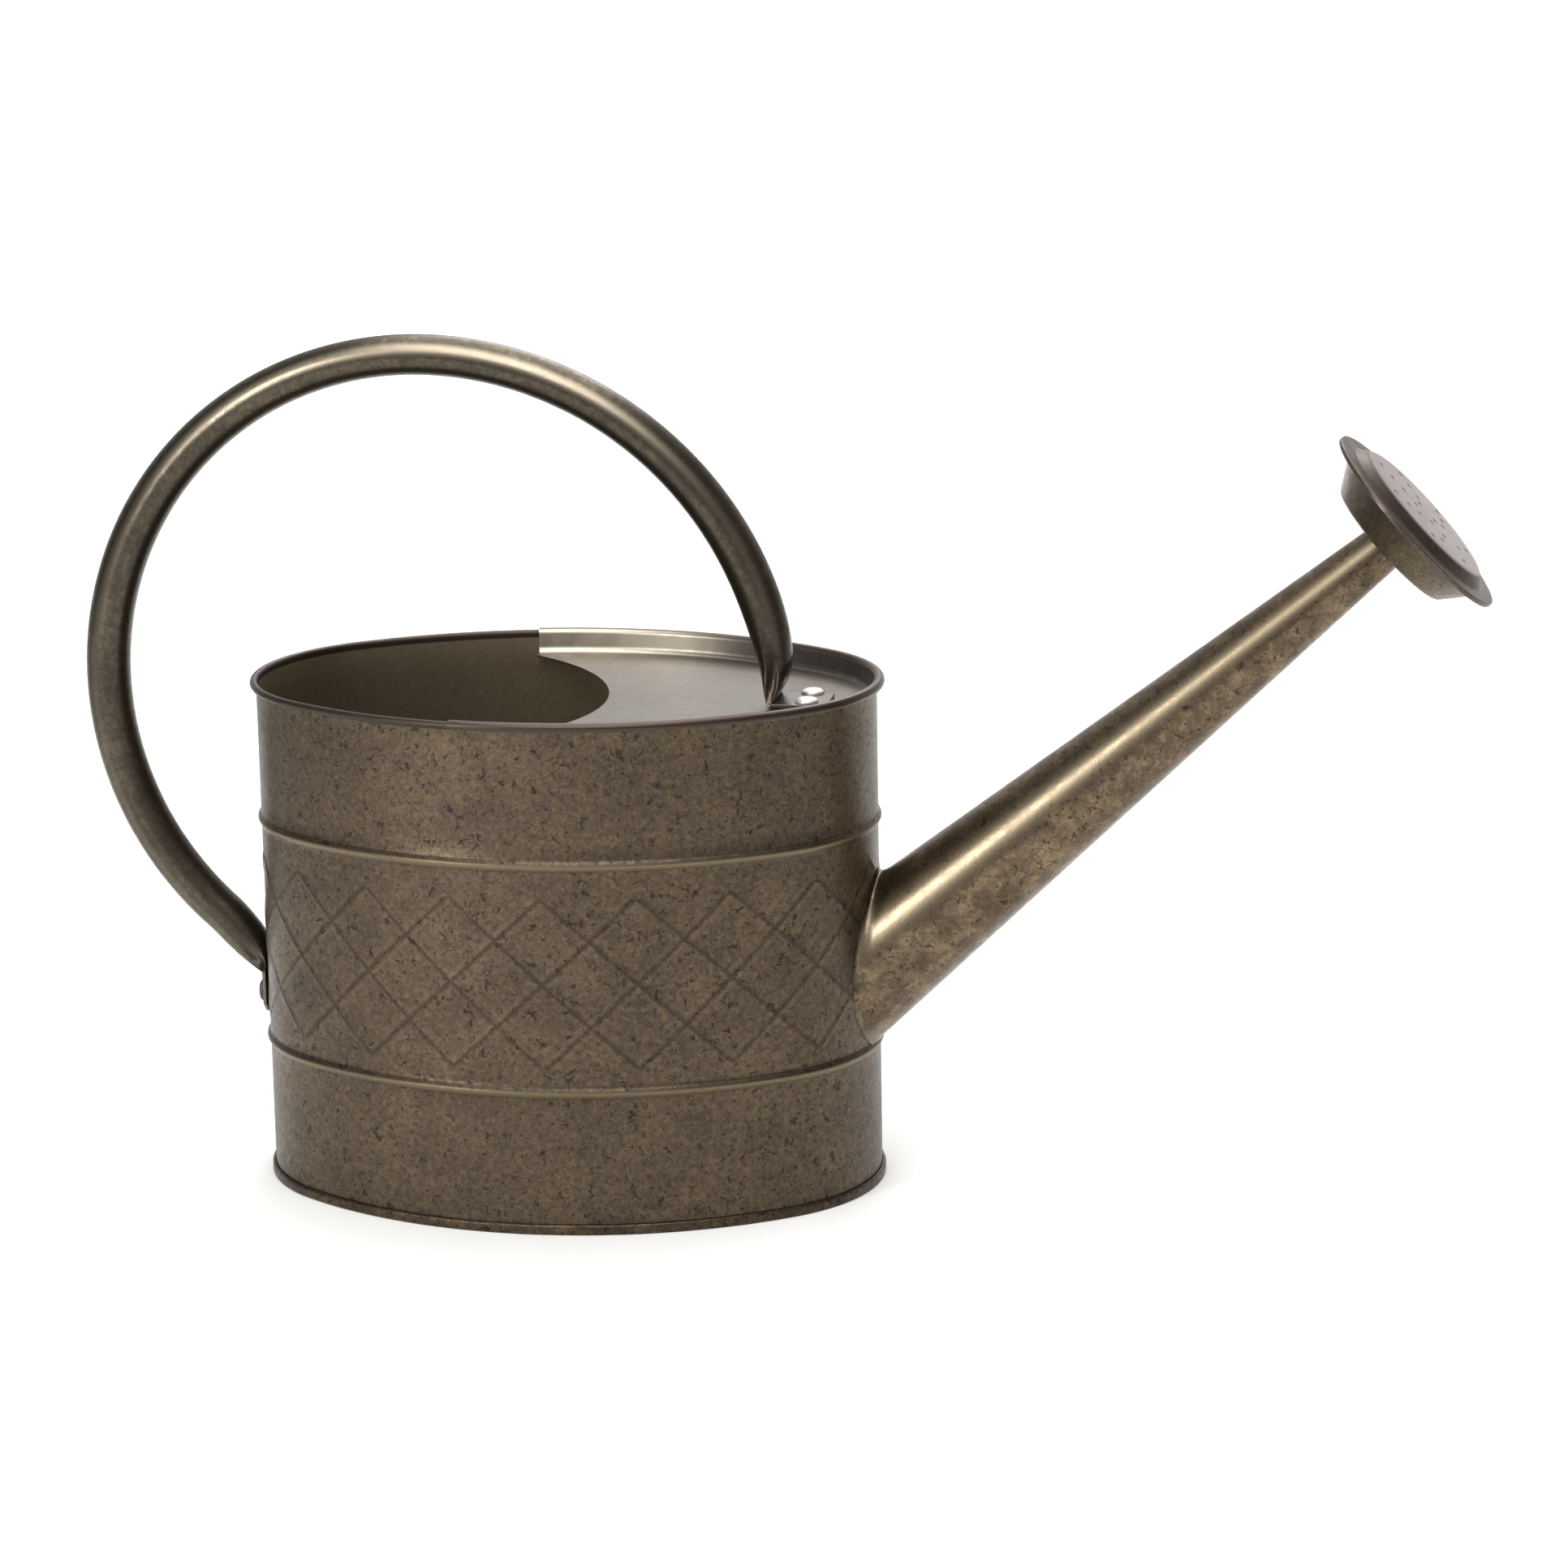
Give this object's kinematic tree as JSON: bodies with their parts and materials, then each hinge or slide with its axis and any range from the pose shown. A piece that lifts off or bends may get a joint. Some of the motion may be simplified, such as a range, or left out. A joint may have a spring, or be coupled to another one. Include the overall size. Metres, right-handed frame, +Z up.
{
  "type": "watering can",
  "caption": "Oval sheet-steel watering can with a half-covered top, a bowed tube handle riveted at both ends, a long tapered spout and a round push-on rose.",
  "frame": {"origin": "centre of the oval base, on the ground plane that the folded foot seam rests on", "axes": "+X towards the spout and rose, +Y to the can's left seen from behind the spout, +Z up"},
  "size_m": [0.5494, 0.174, 0.3342],
  "materials": {
    "aged_sheet": "satin, mottled dark bronze patina",
    "rim_steel": "dull drawn wire",
    "aged_sheet_foot": "satin, mottled dark bronze patina",
    "cover_sheet": "satin, worn pale grey-brown patina",
    "handle_tube": "satin, dark brown-grey with light scratches",
    "bright_rivet": "bright domed heads",
    "dull_rivet": "dull domed heads",
    "spout_sheet": "satin, olive and gold mottling",
    "rose_back": "satin, olive-brown mottling",
    "rose_front": "satin, pale pinkish grey patina",
    "collar_sheet": "dull sheet"
  },
  "bodies": {
    "can": {"body_shell": "aged_sheet", "rim_wire": "rim_steel", "base_pan": "aged_sheet_foot", "cover_plate": "cover_sheet", "handle": "handle_tube", "front_rivets": "bright_rivet", "rear_rivets": "dull_rivet", "spout": "spout_sheet"},
    "rose": {"rose_dish": "rose_back", "rose_face": "rose_front", "rose_collar": "collar_sheet"}
  },
  "joints": [
    {"name": "rose_pull", "type": "slide", "parent": "can", "child": "rose", "axis": [0.7627, 0, 0.6468], "range_m": [0, 0.035]}
  ]
}
